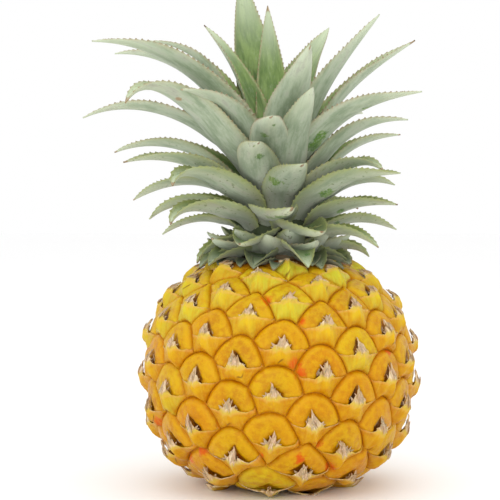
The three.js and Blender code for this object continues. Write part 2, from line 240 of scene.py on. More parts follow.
class Fruitlet:
    """One cell of the skin: its centre, its own directions and its border."""

    def __init__(self, direction, kind, size=1.0, rank=0):
        self.direction = direction
        self.kind = kind
        self.rank = rank
        self.relief = size * (0.94 + 0.12 * vary(rank, 1)) if kind == "eye" else 1.0
        north = np.array([0, 0, 1.0]) - direction * direction[2]
        if np.linalg.norm(north) < 1e-6:
            north = np.array([0, 1.0, 0])
        self.north = north / np.linalg.norm(north)
        self.east = np.cross(self.north, direction)
        self.corners = []

    def vary(self, trait):
        return vary(self.rank, trait)

    def angle(self, d):
        return math.atan2(d @ self.north, d @ self.east)

    def close(self, border):
        """Keeps the border's directions, in turn order, for placing things inside it."""
        self.border = np.array(border)
        angles = np.arctan2(self.border @ self.north, self.border @ self.east)
        order = np.argsort(angles)
        self.turns = angles[order]
        self.rim = self.border[order]
        self.reach = np.linalg.norm(self.rim - self.direction, axis=1) * SPHERE_RADIUS

    def at(self, x, y):
        """Direction of a place in the cell; x and y run over its unit disc, y to the crown."""
        x, y = np.broadcast_arrays(np.asarray(x, float), np.asarray(y, float))
        turn = np.arctan2(y, x)
        rim = np.stack(
            [np.interp(turn, self.turns, self.rim[:, i], period=2 * math.pi) for i in range(3)], -1
        )
        rho = np.hypot(x, y)[..., None]
        return unit(self.direction * (1 - rho) + rim * rho)

    def point(self, x, y, height):
        return skin_point(self.at(x, y), np.broadcast_to(height, np.shape(x)))

    def radius(self):
        return float(self.reach.mean())


def area_below(radius):
    """Skin area below the ring of this radius at the crown's seat."""
    return PROFILE_AREA[::-1][np.argmax(PROFILE_R[::-1] >= radius)]


def make_fruitlets():
    cells = [Fruitlet(np.array([0, 0, -1.0]), "scar")]
    for k in range(LOWEST_EYE, HIGHEST_EYE + 1):
        area = SKIN_BELOW_FIRST_EYE + SKIN_PER_EYE * k - SKIN_SHRINK * k * k
        area += SKIN_WANDER * (2 * vary(k, AREA_TRAIT) - 1)
        size = math.sqrt((SKIN_PER_EYE - 2 * SKIN_SHRINK * k) / SKIN_PER_EYE)
        turn = FIRST_EYE_TURN + GOLDEN_TURN * k + TURN_WANDER * (2 * vary(k, TURN_TRAIT) - 1)
        cells.append(Fruitlet(sphere_direction(turn, area), "eye", size, k))
    ring = area_below(SEAT_RING_RADIUS)
    for i in range(SEAT_RING_COUNT):
        cells.append(Fruitlet(sphere_direction(SEAT_RING_TURN + 360 * i / SEAT_RING_COUNT, ring), "seat"))
    cells.append(Fruitlet(np.array([0, 0, 1.0]), "seat"))
    return cells


def find_borders(cells):
    """Gives each cell its border, and returns the shared border directions and each cell's ring of them."""
    bm = bmesh.new()
    verts = [bm.verts.new(cell.direction) for cell in cells]
    index = {v: i for i, v in enumerate(verts)}
    bmesh.ops.convex_hull(bm, input=verts)
    corners = []
    owners = []
    for face in bm.faces:
        mine = [index[v] for v in face.verts]
        face.normal_update()
        normal = np.array(face.normal)
        if normal @ cells[mine[0]].direction < 0:
            normal = -normal
        corners.append(normal / np.linalg.norm(normal))
        owners.append(mine)
    bm.free()
    for corner, mine in enumerate(owners):
        for i in mine:
            cells[i].corners.append(corner)
    directions = list(corners)
    edges = {}

    def edge(a, b):
        """Points between two corners, bowed away from the lower cell as its dome bulges up."""
        key = (min(a, b), max(a, b))
        if key not in edges:
            sides = [i for i in owners[key[0]] if i in owners[key[1]]]
            low, high = sorted(sides, key=lambda i: cells[i].direction[2])[:2]
            rise = cells[high].direction - cells[low].direction
            apart = np.linalg.norm(rise)
            lift = rise[2] / apart / max(math.hypot(*cells[low].direction[:2]), 0.3)
            eyes = cells[low].kind == "eye" and cells[high].kind == "eye"
            bow = EDGE_BOW * apart * min(max(lift, 0), 1) if eyes else 0
            mine = []
            for part in range(1, EDGE_PARTS):
                t = part / EDGE_PARTS
                d = unit(corners[key[0]] * (1 - t) + corners[key[1]] * t)
                d = unit(d + rise / apart * bow * 4 * t * (1 - t))
                mine.append(len(directions))
                directions.append(d)
            edges[key] = mine
        return edges[key] if a < b else edges[key][::-1]

    rings = []
    for cell in cells:
        cell.corners.sort(key=lambda c: cell.angle(corners[c]))
        ring = []
        for a, b in zip(cell.corners, cell.corners[1:] + cell.corners[:1]):
            ring += [a] + edge(a, b)
        rings.append(ring)
        cell.close([directions[i] for i in ring])
    return np.array(directions), rings


CELLS = make_fruitlets()
BORDERS, RINGS = find_borders(CELLS)
EYES = [cell for cell in CELLS if cell.kind == "eye"]


# Meshes

class Shell:
    """Vertices, faces and per-vertex values gathered for one piece, in mm."""

    def __init__(self):
        self.points = []
        self.faces = []
        self.values = {}
        self.count = 0

    def add(self, points, faces=(), **values):
        """Adds vertices with their values, and faces numbered from the first of them."""
        points = np.asarray(points, float).reshape(-1, 3)
        for name in set(self.values) | set(values):
            if name not in self.values:
                self.values[name] = [np.zeros(self.count)] if self.count else []
            value = values.get(name, 0.0)
            self.values[name].append(np.broadcast_to(value, (len(points),)).astype(float).ravel())
        self.points.append(points)
        self.faces += (np.asarray(faces) + self.count).tolist()
        self.count += len(points)

    def build(self, name, material, slot, *nodes):
        mesh = bpy.data.meshes.new(name)
        mesh.from_pydata((np.vstack(self.points) * MM).tolist(), [], self.faces)
        for key, parts in self.values.items():
            layer = mesh.attributes.new(key, "FLOAT", "POINT")
            layer.data.foreach_set("value", np.concatenate(parts).astype(np.float32))
        mesh.polygons.foreach_set("use_smooth", np.ones(len(mesh.polygons), bool))
        mesh.materials.append(material)
        mesh.update()
        piece = bpy.data.objects.new(name, mesh)
        bpy.context.scene.collection.objects.link(piece)
        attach(piece, "root")
        if nodes:
            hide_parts(*nodes)
        return piece


def grid_faces(rows, columns, flip=False, offset=0):
    i, j = np.meshgrid(np.arange(rows - 1), np.arange(columns - 1), indexing="ij")
    a = (i * columns + j).ravel() + offset
    quads = np.stack([a, a + 1, a + columns + 1, a + columns], -1)
    return quads[:, ::-1] if flip else quads


def slab_faces(rows, columns):
    """Faces of a closed slab: an upper grid, a lower grid after it, and the walls round them."""
    size = rows * columns
    border = list(range(columns))
    border += [i * columns + columns - 1 for i in range(1, rows)]
    border += [(rows - 1) * columns + j for j in range(columns - 2, -1, -1)]
    border += [i * columns for i in range(rows - 2, 0, -1)]
    border = np.array(border)
    after = np.roll(border, -1)
    walls = np.stack([border, border + size, after + size, after], -1)
    return np.vstack([grid_faces(rows, columns), grid_faces(rows, columns, True, size), walls])


def tiled(value, shape, times=2):
    """A value for each vertex of a slab's two grids, or of several slabs, from its value over one grid."""
    return np.tile(np.broadcast_to(value, shape).ravel(), times)


# Materials

class Look:
    """A small builder for one procedural material."""

    def __init__(self, name, **constants):
        self.material = bpy.data.materials.new(name)
        self.material.use_nodes = True
        self.tree = self.material.node_tree
        self.tree.nodes.clear()
        self.shader = self.node("ShaderNodeBsdfPrincipled")
        self.colour = None
        output = self.node("ShaderNodeOutputMaterial")
        self.link(self.shader.outputs[0], output.inputs[0])
        for key, value in constants.items():
            self.shader.inputs[key.replace("_", " ")].default_value = value

    def node(self, kind, **settings):
        made = self.tree.nodes.new(kind)
        for key, value in settings.items():
            setattr(made, key, value)
        return made

    def link(self, source, target):
        """Joins an output to an input, or sets the input to a number or to a colour as seen."""
        if isinstance(source, (int, float)):
            target.default_value = source
        elif isinstance(source, tuple):
            target.default_value = srgb(*source)
        else:
            self.tree.links.new(source, target)

    def value(self, name):
        return self.node("ShaderNodeAttribute", attribute_name=name).outputs["Fac"]

    def place(self):
        """Position on the piece in millimetres."""
        coordinates = self.node("ShaderNodeTexCoord").outputs["Object"]
        scaled = self.node("ShaderNodeVectorMath", operation="SCALE")
        self.link(coordinates, scaled.inputs[0])
        scaled.inputs["Scale"].default_value = 1000
        return scaled.outputs[0]

    def combine(self, *parts):
        made = self.node("ShaderNodeCombineXYZ")
        for source, target in zip(parts, made.inputs):
            self.link(source, target)
        return made.outputs[0]

    def noise(self, place, scale, detail, rough=0.5, distortion=0.0):
        made = self.node("ShaderNodeTexNoise")
        self.link(place, made.inputs["Vector"])
        made.inputs["Scale"].default_value = scale
        made.inputs["Detail"].default_value = detail
        made.inputs["Roughness"].default_value = rough
        made.inputs["Distortion"].default_value = distortion
        return made.outputs["Fac"]

    def math(self, operation, a, b=0.0, c=0.0):
        made = self.node("ShaderNodeMath", operation=operation)
        for source, target in zip((a, b, c), made.inputs):
            self.link(source, target)
        return made.outputs[0]

    def times(self, a, b):
        return self.math("MULTIPLY", a, b)

    def scaled(self, x, by, plus):
        return self.math("MULTIPLY_ADD", x, by, plus)

    def remap(self, x, low, high, to_low=0.0, to_high=1.0):
        made = self.node("ShaderNodeMapRange", interpolation_type="SMOOTHSTEP")
        for source, target in zip((x, low, high, to_low, to_high), made.inputs):
            self.link(source, target)
        return made.outputs[0]

    def mix(self, share, a, b):
        made = self.node("ShaderNodeMix", data_type="RGBA")
        self.link(share, made.inputs[0])
        self.link(a, made.inputs[6])
        self.link(b, made.inputs[7])
        return made.outputs[2]

    def over(self, share, tint):
        """Lays a tint over the colour so far."""
        self.colour = self.mix(share, self.colour, tint)

    def ramp(self, x, *stops):
        made = self.node("ShaderNodeValToRGB")
        band = made.color_ramp
        while len(band.elements) < len(stops):
            band.elements.new(0.5)
        for element, (place, colour) in zip(band.elements, stops):
            element.position = place
            element.color = srgb(*colour)
        self.link(x, made.inputs[0])
        return made.outputs[0]

    def bump(self, height, strength, distance, before=None):
        made = self.node("ShaderNodeBump")
        made.inputs["Strength"].default_value = strength
        made.inputs["Distance"].default_value = distance * MM
        self.link(height, made.inputs["Height"])
        if before is not None:
            self.link(before, made.inputs["Normal"])
        return made.outputs[0]

    def finish(self, roughness, normal=None):
        self.link(self.colour, self.shader.inputs["Base Color"])
        self.link(roughness, self.shader.inputs["Roughness"])
        if normal is not None:
            self.link(normal, self.shader.inputs["Normal"])
        return self.material


def srgb(r, g, b):
    """A colour as seen, from 0 to 255, as the light values that a shader works in."""
    def linear(c):
        c = c / 255
        return c / 12.92 if c <= 0.04045 else ((c + 0.055) / 1.055) ** 2.4
    return (linear(r), linear(g), linear(b), 1.0)


def skin_look():
    look = Look(
        "fruit skin", Specular_IOR_Level=0.3, Specular_Tint=(1, 0.85, 0.5, 1), Subsurface_Weight=0.12,
        Subsurface_Radius=(0.9, 0.45, 0.08), Subsurface_Scale=0.0025,
    )
    place = look.place()
    broad = look.noise(place, 0.05, 2.0)
    cloudy = look.noise(place, 0.35, 4.0, 0.6)
    fine = look.noise(place, 2.2, 4.0, 0.6)
    tone = look.value("tone")
    look.colour = look.mix(look.remap(cloudy, 0.38, 0.62), (180, 113, 0), (199, 149, 0))
    look.over(look.remap(broad, 0.4, 0.6, 0.0, 0.7), (204, 134, 0))
    look.over(look.times(tone, 0.7), (204, 160, 2))
    mottled = look.noise(place, 0.5, 5.0, 0.62)
    # Painted highlight: a lighter band round each dome's rim, stronger on its upper side.
    rim = look.times(look.value("rim"), look.remap(mottled, 0.35, 0.6, 0.1, 0.55))
    look.over(rim, (222, 172, 18))
    look.over(look.remap(mottled, 0.5, 0.64, 0.0, 0.45), (180, 110, 0))
    look.over(look.remap(mottled, 0.5, 0.36, 0.0, 0.4), (211, 166, 6))
    lime = look.times(look.value("lime"), look.remap(cloudy, 0.3, 0.65, 0.35, 1.0))
    look.over(lime, (208, 196, 30))
    blush_edge = look.math("ADD", look.value("blush"), look.scaled(mottled, 1.6, -0.8))
    blush = look.remap(blush_edge, 0.25, 0.9, 0.0, 0.9)
    look.over(blush, (206, 74, 0))
    # Painted shade: darker ochre along the grooves between fruitlets.
    groove = look.times(look.value("groove"), look.remap(fine, 0.2, 0.7, 0.75, 1.0))
    look.over(look.times(groove, 0.8), (184, 106, 0))
    flecks = look.times(look.remap(fine, 0.62, 0.74), look.remap(cloudy, 0.5, 0.7))
    look.over(look.times(flecks, 0.35), (178, 112, 20))
    # Painted shade: brown to dark brown in the gaps beside the beaks, and on the skin under the crown's seat.
    hollow = look.scaled(fine, 0.7, look.value("hollow"))
    look.over(look.remap(hollow, 0.4, 0.9, 0.0, 0.85), (150, 84, 6))
    hollow = look.remap(hollow, 0.8, 1.35)
    look.over(hollow, (88, 50, 20))
    grain = look.noise(place, 1.1, 5.0, 0.7, 0.6)
    scar = look.ramp(grain, (0.3, (120, 84, 44)), (0.5, (186, 150, 98)), (0.7, (222, 196, 146)))
    look.over(look.value("scar"), scar)
    rough = look.remap(cloudy, 0.3, 0.7, 0.34, 0.48)
    rough = look.math("MAXIMUM", rough, look.times(look.value("scar"), 0.85))
    rough = look.math("MAXIMUM", rough, look.times(hollow, 0.8))
    pores = look.noise(place, 3.5, 3.0, 0.6)
    normal = look.bump(pores, 0.4, 0.14)
    normal = look.bump(cloudy, 0.5, 0.9, normal)
    normal = look.bump(mottled, 0.4, 0.35, normal)
    return look.finish(rough, normal)


def bract_look():
    look = Look(
        "bract", Specular_IOR_Level=0.3, Specular_Tint=(1, 0.85, 0.5, 1), Subsurface_Weight=0.12,
        Subsurface_Radius=(0.9, 0.5, 0.1), Subsurface_Scale=0.002,
    )
    across, up = look.value("across"), look.value("up")
    tone = look.value("tone")
    place = look.place()
    cloudy = look.noise(place, 0.4, 4.0, 0.6)
    flow = look.combine(look.times(across, 9.0), look.times(up, 1.2), look.times(tone, 40.0))
    streak = look.noise(flow, 1.0, 3.0, 0.6)
    look.colour = look.mix(look.remap(cloudy, 0.35, 0.65), (190, 123, 0), (202, 145, 0))
    middle = look.remap(look.math("ABSOLUTE", across), 0.0, 0.6, 1.0, 0.0)
    middle = look.times(middle, look.remap(up, -0.62, -0.2))
    middle = look.times(middle, look.scaled(look.value("high"), 0.6, 0.3))
    look.over(middle, (220, 178, 10))
    lime = look.times(look.value("lime"), look.remap(streak, 0.3, 0.65, 0.4, 1.0))
    look.over(lime, (196, 196, 52))
    look.over(look.remap(streak, 0.55, 0.75, 0.0, 0.35), (214, 138, 30))
    # Pale peach along the bract's papery margin: partly its own colour, partly a painted highlight.
    edge = look.remap(streak, 0.25, 0.6, 0.3, 0.9)
    edge = look.times(look.remap(up, -0.16, 0.0, 0.0, 0.8), edge)
    look.over(edge, (226, 160, 88))
    slant = look.scaled(across, -0.9, look.scaled(tone, -0.16, 0.66))
    off = look.math("ABSOLUTE", look.math("ADD", up, slant))
    aside = look.scaled(tone, 3.0, look.math("ADD", across, -2.6))
    stroke = look.times(look.remap(off, 0.0, 0.08, 1.0, 0.0), look.remap(aside, -0.16, -0.04))
    stroke = look.times(stroke, look.remap(aside, 0.06, 0.2, 1.0, 0.0))
    stroke = look.times(stroke, look.remap(tone, 0.7, 0.74, 0.0, 0.8))
    look.over(stroke, (104, 54, 8))
    blush_edge = look.math("ADD", look.value("blush"), look.scaled(streak, 1.6, -0.8))
    look.over(look.remap(blush_edge, 0.25, 0.9, 0.0, 0.9), (206, 74, 0))
    # Painted shade: darker amber towards the bract's outer border, by the groove.
    base = look.remap(look.value("low"), 0.0, 1.0, 0.5, 0.0)
    look.over(base, (206, 126, 2))
    dry = look.value("dry")
    fading = look.remap(look.scaled(streak, 0.5, dry), 0.2, 0.6)
    look.over(look.times(fading, 0.8), (204, 180, 62))
    dried = look.ramp(streak, (0.3, (132, 98, 60)), (0.45, (194, 164, 124)), (0.62, (226, 204, 170)))
    look.over(look.remap(look.scaled(streak, 0.5, dry), 0.55, 1.0), dried)
    rough = look.math("MAXIMUM", look.remap(cloudy, 0.3, 0.7, 0.36, 0.5), look.times(dry, 0.75))
    normal = look.bump(streak, 0.45, 0.3)
    normal = look.bump(cloudy, 0.5, 0.7, normal)
    return look.finish(rough, normal)


def scale_look():
    look = Look("dry scale")
    across, along = look.value("across"), look.value("along")
    tone, pale = look.value("tone"), look.value("pale")
    flow = look.combine(look.times(across, 5.0), look.times(along, 0.9), look.times(tone, 60.0))
    streak = look.noise(flow, 1.0, 4.0, 0.65)
    mottled = look.noise(look.place(), 0.9, 3.0, 0.6)
    look.colour = look.ramp(
        streak,
        (0.26, (104, 70, 42)), (0.4, (168, 136, 100)),
        (0.53, (208, 180, 144)), (0.7, (232, 212, 182)),
    )
    look.over(look.remap(mottled, 0.4, 0.62), (168, 152, 118))
    look.over(look.times(pale, 0.6), (232, 184, 150))
    look.over(look.remap(tone, 0.78, 0.98, 0.0, 0.8), (112, 70, 34))
    foot = look.remap(along, 0.0, 0.3, 1.0, 0.0)
    look.over(look.times(foot, look.value("fresh")), (222, 186, 60))
    normal = look.bump(streak, 0.6, 0.3)
    return look.finish(look.remap(streak, 0.3, 0.7, 0.9, 0.62), normal)


def leaf_look():
    look = Look("crown leaf", Specular_IOR_Level=0.35, Sheen_Weight=0.12, Sheen_Roughness=0.6)
    along, across = look.value("along"), look.value("across")
    side, tone = look.value("upper"), look.value("tone")
    length = look.value("reach")
    place = look.place()
    seed = look.times(tone, 90.0)
    flow = look.combine(look.times(across, 0.16), look.times(along, 0.035), seed)
    veins = look.noise(look.combine(look.times(across, 2.4), look.times(along, 0.05), seed), 1.0, 3.0, 0.6)
    cloudy = look.noise(flow, 2.2, 5.0, 0.62)
    dust = look.noise(look.combine(look.times(across, 0.9), look.times(along, 0.35), seed), 1.0, 5.0, 0.7)
    lower = look.mix(look.remap(cloudy, 0.34, 0.66), (138, 154, 126), (184, 195, 170))
    foot = look.remap(along, 4.0, 26.0, 0.75, 0.0)
    foot = look.times(foot, look.remap(cloudy, 0.3, 0.7, 0.5, 1.0))
    lower = look.mix(foot, lower, (150, 148, 140))
    upper = look.mix(look.remap(cloudy, 0.34, 0.66), (84, 112, 48), (128, 152, 82))
    # Painted shade: the upper face darkens towards the leaf's base, well inside the crown.
    root_shade = look.remap(along, 0.0, 34.0, 0.8, 0.0)
    upper = look.mix(root_shade, upper, (74, 96, 50))
    look.colour = look.mix(side, lower, upper)
    pale = look.remap(length, 0.58, 1.0, 0.0, 0.8)
    look.over(pale, (204, 214, 186))
    bloom = look.times(look.remap(dust, 0.5, 0.72), look.remap(side, 0.0, 1.0, 0.45, 0.2))
    look.over(bloom, (184, 190, 172))
    look.over(look.remap(veins, 0.5, 0.72, 0.0, 0.16), (96, 118, 84))
    scuff_edge = look.math("ADD", look.value("scuff"), look.scaled(dust, 1.5, -0.75))
    worn = look.noise(place, 1.3, 4.0, 0.65)
    scuff = look.times(look.remap(scuff_edge, 0.36, 0.56), look.remap(worn, 0.36, 0.5, 0.25, 0.95))
    green = look.mix(look.remap(cloudy, 0.35, 0.6), (54, 100, 36), (108, 146, 42))
    look.over(scuff, green)
    grain = look.noise(place, 0.8, 3.0, 0.6)
    speck = look.times(look.remap(grain, 0.58, 0.64), look.remap(cloudy, 0.47, 0.58, 0.0, 0.8))
    speck = look.times(speck, look.remap(look.value("high"), 0.0, 1.0, 1.0, 0.2))
    look.over(speck, (72, 104, 44))
    olive = look.times(look.value("zone"), look.remap(cloudy, 0.3, 0.65, 0.2, 0.8))
    olive = look.times(olive, look.math("SUBTRACT", 1.0, look.value("high")))
    look.over(olive, (120, 124, 50))
    mauve = look.remap(side, 0.0, 1.0, 1.0, 0.0)
    mauve = look.times(look.remap(cloudy, 0.5, 0.72, 0.0, 0.5), mauve)
    look.over(mauve, (152, 148, 140))
    margin = look.value("margin")
    low_margin = look.math("SUBTRACT", 1.0, look.value("high"))
    tint = look.mix(low_margin, (186, 178, 140), (156, 168, 92))
    look.over(look.times(margin, look.remap(dust, 0.3, 0.6, 0.1, 0.6)), tint)
    thorn = look.mix(low_margin, (124, 84, 46), (140, 140, 82))
    look.over(look.times(look.value("tooth"), 0.8), thorn)
    # Painted shade: dark olive over the crown's core and its lowest leaves.
    look.over(look.value("deep"), (48, 60, 26))
    dry = look.remap(look.scaled(dust, 0.6, look.value("dry")), 0.6, 0.95)
    dried = look.ramp(veins, (0.3, (92, 68, 48)), (0.5, (142, 120, 88)), (0.7, (192, 174, 138)))
    look.over(dry, dried)
    rough = look.remap(dust, 0.3, 0.7, 0.5, 0.68)
    normal = look.bump(veins, 0.2, 0.25)
    normal = look.bump(dust, 0.2, 0.2, normal)
    return look.finish(rough, normal)


# Skin of the fruit

SKIN_RINGS = np.array([0.1, 0.18, 0.26, 0.34, 0.42, 0.5, 0.58, 0.66, 0.74, 0.81, 0.87, 0.92, 0.965, 1.0])
SCAR_RINGS = np.array([0.1, 0.2, 0.3, 0.4, 0.5, 0.6, 0.7, 0.78, 0.84, 0.88, 0.91, 0.95, 1.0])
SEAT_RINGS = np.array([0.5, 1.0])

# Orange-red blushes, those on the shown side first: turn, height, radius, in degrees and millimetres
BLUSHES = [
    (6, 50.5, 2.6), (8, 47.5, 2.2), (10, 64.6, 2), (-6, 71.8, 2.2), (10, 17, 2.8), (-7, 18.5, 2.2),
    (28, 13, 3.2), (-39, 18, 2.4), (-50, 14, 2.6), (17, 23, 2.2), (-85, 53, 2), (-19, 17.5, 1.8), (53, 53, 2),
    (98, 40, 2.6), (104, 36, 2), (140, 24, 3), (176, 60, 2.4), (181, 56, 1.8), (205, 15, 3), (238, 45, 2.4),
    (262, 70, 2), (292, 26, 2.8), (297, 22, 2),
]


def blush_at(points):
    found = np.zeros(points.shape[:-1])
    for turn, height, radius in BLUSHES:
        a = turn * DEG
        r = np.interp(height, PROFILE_Z[20:-20], PROFILE_R[20:-20]) + 1.5
        spot = np.array([math.sin(a) * r, -math.cos(a) * r, height])
        found = np.maximum(found, bell(np.linalg.norm(points - spot, axis=-1), radius))
    return found


def dome(rho):
    return DOME_HEIGHT * (1 - np.clip(rho, 0, 1) ** 4.6) ** 0.6


def bract_margin(x):
    return BRACT_MARGIN + BRACT_SAG * x * x


def beak_of(cell):
    """Lean, height and half width of the dry point in the middle of a bract's margin."""
    high = min(max((cell.direction[2] - 0.45) / 0.4, 0), 1)
    low = min(max((-0.6 - cell.direction[2]) / 0.3, 0), 1)
    lean = 0.5 * (cell.vary(61) - 0.5)
    tall = (0.46 + 0.2 * cell.vary(62) + 0.1 * high) * (1 - 0.4 * low)
    return lean, tall, 0.38 + 0.12 * cell.vary(63) + 0.12 * high


def beak_rise(from_ridge, over, rho):
    """Height of a bract's outer face over the dome, by the distance from its ridge and over its margin."""
    reach = np.clip(over / TUFT_REACH, 0, 1)
    swell = bell(from_ridge, lerp(0.3, 0.17, reach)) * np.minimum(1 - rho**6, 1 - reach)
    stand = bell(over - 0.1, 0.24) * bell(from_ridge, 0.42)
    return TUFT_HEIGHT * swell + BEAK_STAND * stand


def crevice(cell, x, y):
    """Depth, from 0 to about 1, of the gap that runs along both sides of a beak, which the skin's colour
    darkens as painted shade.
    """
    lean, tall, half = beak_of(cell)
    off = x - lean * np.maximum(y - BRACT_MARGIN, 0)
    top = BRACT_MARGIN + tall * np.clip(1 - np.abs(off) / half, 0, 1) ** BEAK_POWER
    most = 0.85 * min(max(1.3 + 1.1 * cell.direction[2], 0.2), 1)
    left, right = 0.2 + most * cell.vary(64), 0.2 + most * cell.vary(68)
    depth = lerp(left, right, 0.5 + 0.5 * np.tanh(off / 0.07))
    inside = np.clip((half * 1.05 - np.abs(off)) / (0.4 * half), 0, 1)
    return depth * inside * bell(np.maximum(y - top, 0), 0.09 + 0.06 * cell.vary(65)) * (y > -0.3)


def lime_of(cell):
    """How green a fruitlet is: more towards the crown, and on the odd one elsewhere."""
    high = min(max((cell.direction[2] - 0.35) / 0.6, 0), 1)
    odd = 0.45 if cell.vary(22) > 0.86 else 0.0
    if cell.rank == GREENEST_EYE:
        odd = 0.9
    return min(0.8 * high * (0.5 + cell.vary(21)) + odd, 1)


def build_skin(material):
    shell = Shell()
    shell.add(skin_point(BORDERS, np.zeros(len(BORDERS))), groove=1.0)
    rings_of = {"eye": SKIN_RINGS, "scar": SCAR_RINGS, "seat": SEAT_RINGS}
    for cell, ring in zip(CELLS, RINGS):
        levels = rings_of[cell.kind]
        count = len(ring)
        border = BORDERS[ring]
        x0 = border @ cell.east
        y0 = border @ cell.north
        length = np.hypot(x0, y0)
        t = levels[:-1, None]
        rho = np.broadcast_to(t, (len(levels) - 1, count))
        direction = unit(cell.direction * (1 - t[..., None]) + border * t[..., None])
        x, y = t * x0 / length, t * y0 / length
        edge = (1 - rho) * np.linalg.norm(border - cell.direction, axis=1) * SPHERE_RADIUS
        rho = np.concatenate([[0], rho.ravel()])
        x = np.concatenate([[0], x.ravel()])
        y = np.concatenate([[0], y.ravel()])
        edge = np.concatenate([[9], edge.ravel()])
        direction = np.vstack([cell.direction[None], direction.reshape(-1, 3)])
        # The groove value sets where painted shade darkens the skin along the grooves.
        values = {"groove": bell(edge, 0.6) * 0.9}
        if cell.kind == "eye":
            hollow = crevice(cell, x, y)
            under = np.clip((bract_margin(x) - y) / 0.12, 0, 1)
            wobble = 0.12 * np.sin(5 * x + 9 * cell.vary(11)) * np.sin(4 * y + 9 * cell.vary(12))
            tilt = x * (cell.vary(13) - 0.5) * 0.7 + y * (cell.vary(14) - 0.5) * 0.5
            height = dome(rho) * (1 + 0.5 * tilt) + wobble - 1.5 * hollow - 0.35 * under * (1 - rho**6)
            height = height * cell.relief - 0.15 * bell(edge, 0.6)
            values["hollow"] = hollow
            # How much painted highlight lightens the dome's rim, more on its upper side.
            values["rim"] = bell(edge - 1.7, 0.6) * np.clip(2 * y + 0.6, 0, 1)
            values["tone"] = cell.vary(15)
            values["lime"] = lime_of(cell) * 0.6
        elif cell.kind == "scar":
            disc = rho < 0.9
            height = np.where(disc, SCAR_DROP, 0.0)
            values["scar"] = np.where(rho < 0.95, 1.0, 0.0)
        else:
            height = np.zeros(len(rho))
        points = skin_point(direction, height)
        if cell.kind == "scar":
            grain = np.sin(rho * 38) * 0.12 + 0.1 * np.sin(np.arctan2(y, x) * 40) * rho
            points[:, 2] += np.where(disc, np.abs(grain) * np.clip(1.6 * rho, 0, 1), 0)
        shaded = 0.9 * np.clip((points[:, 2] - 81.5) / 3, 0, 1)
        values["hollow"] = np.maximum(values.get("hollow", 0), shaded)
        values["blush"] = blush_at(points)
        start = shell.count
        spokes = np.arange(count)
        after = (spokes + 1) % count
        inner = start + 1 + spokes
        inner_after = start + 1 + after
        shell.faces += np.stack([np.full(count, start), inner, inner_after], -1).tolist()
        for level in range(1, len(levels)):
            if level == len(levels) - 1:
                outer, outer_after = np.array(ring), np.array(ring)[after]
            else:
                outer = start + 1 + level * count + spokes
                outer_after = start + 1 + level * count + after
            shell.faces += np.stack([inner, outer, outer_after, inner_after], -1).tolist()
            inner, inner_after = outer, outer_after
        shell.add(points, **values)
    return shell.build("fruit_skin", material, "fruit_skin", "fruit")


def build_bracts(material):
    """The fleshy lower half of each fruitlet: a thin shell with a dry beak in the middle of its margin."""
    shell = Shell()
    t = np.linspace(-1, 1, 29)[None]
    a = np.sign(t) * np.abs(t) ** 1.5
    b = np.array([0, 0.08, 0.19, 0.31, 0.43, 0.54, 0.65, 0.75, 0.84, 0.91, 0.96, 1.0])[:, None]
    shape = (b.shape[0], a.shape[1])
    faces = slab_faces(*shape)
    for cell in EYES:
        v = [cell.vary(trait) for trait in range(30, 44)]
        lean, tall, half = beak_of(cell)
        top_x = 0.965 * a
        ragged = 0.018 * np.sin(a * 11 + 20 * v[1]) + 0.012 * np.sin(a * 23 + 20 * v[2])
        torn = 1 + 0.12 * np.sin(top_x * 39 + 20 * v[11]) + 0.1 * np.sin(top_x * 71 + 20 * v[12])
        beak = tall * np.clip(1 - np.abs(top_x) / half, 0, 1) ** BEAK_POWER * torn
        top_y = bract_margin(top_x) + ragged + beak
        turn = -math.pi / 2 + a * (94 * DEG)
        low_x, low_y = 0.985 * np.cos(turn), 0.985 * np.sin(turn)
        x = low_x + (top_x - low_x) * b
        y = low_y + (top_y - low_y) * b
        over = y - bract_margin(x)
        from_ridge = x
        x = x + lean * np.maximum(y - BRACT_MARGIN, 0)
        rho = np.hypot(x, y)
        crease = 0.3 * np.exp(-np.abs(from_ridge) / 0.05) * np.clip(1 - rho**4, 0, 1)
        ridge = (0.1 + 0.5 * v[4]) * bell(x - 0.3 * (v[5] - 0.5) * (1 + y), 0.09) * bell(y + 0.6, 0.25)
        tip = np.clip((over + 0.12) / 0.42, 0, 1) * bell(from_ridge, 0.5)
        strands = 0.14 * np.sin(from_ridge * 62 + 20 * v[13]) * tip
        lip = 0.24 * b**4 * (0.5 + v[6]) + 0.2 * b**8 * np.abs(a) * v[7]
        height = dome(rho) + 0.12 + beak_rise(from_ridge, over, rho) + crease + ridge + strands + lip
        height = height * cell.relief
        thick = 0.6 * (1 - 0.5 * b) + 0.9 * bell(over - 0.08, 0.16) * bell(from_ridge, 0.3) * (b < 0.99)
        outer = cell.point(x, y, height)
        inner = cell.point(x, y, height - thick)
        edge = np.clip((b - 0.93) / 0.07, 0, 1) * (0.3 + 0.5 * v[9])
        dry = np.maximum(tip, edge)
        points = np.concatenate([outer.reshape(-1, 3), inner.reshape(-1, 3)])
        shell.add(
            points, faces,
            across=tiled(from_ridge, shape),
            up=tiled(over, shape),
            # This falls to 0 at the bract's border, where painted shade darkens it.
            low=tiled(np.clip((1 - rho) / 0.12, 0, 1), shape),
            dry=tiled(dry, shape),
            tone=v[10],
            lime=lime_of(cell),
            high=min(max((cell.direction[2] + 0.1) / 0.7, 0), 1),
            blush=blush_at(points),
        )
    return shell.build("bracts", material, "fruit_skin")


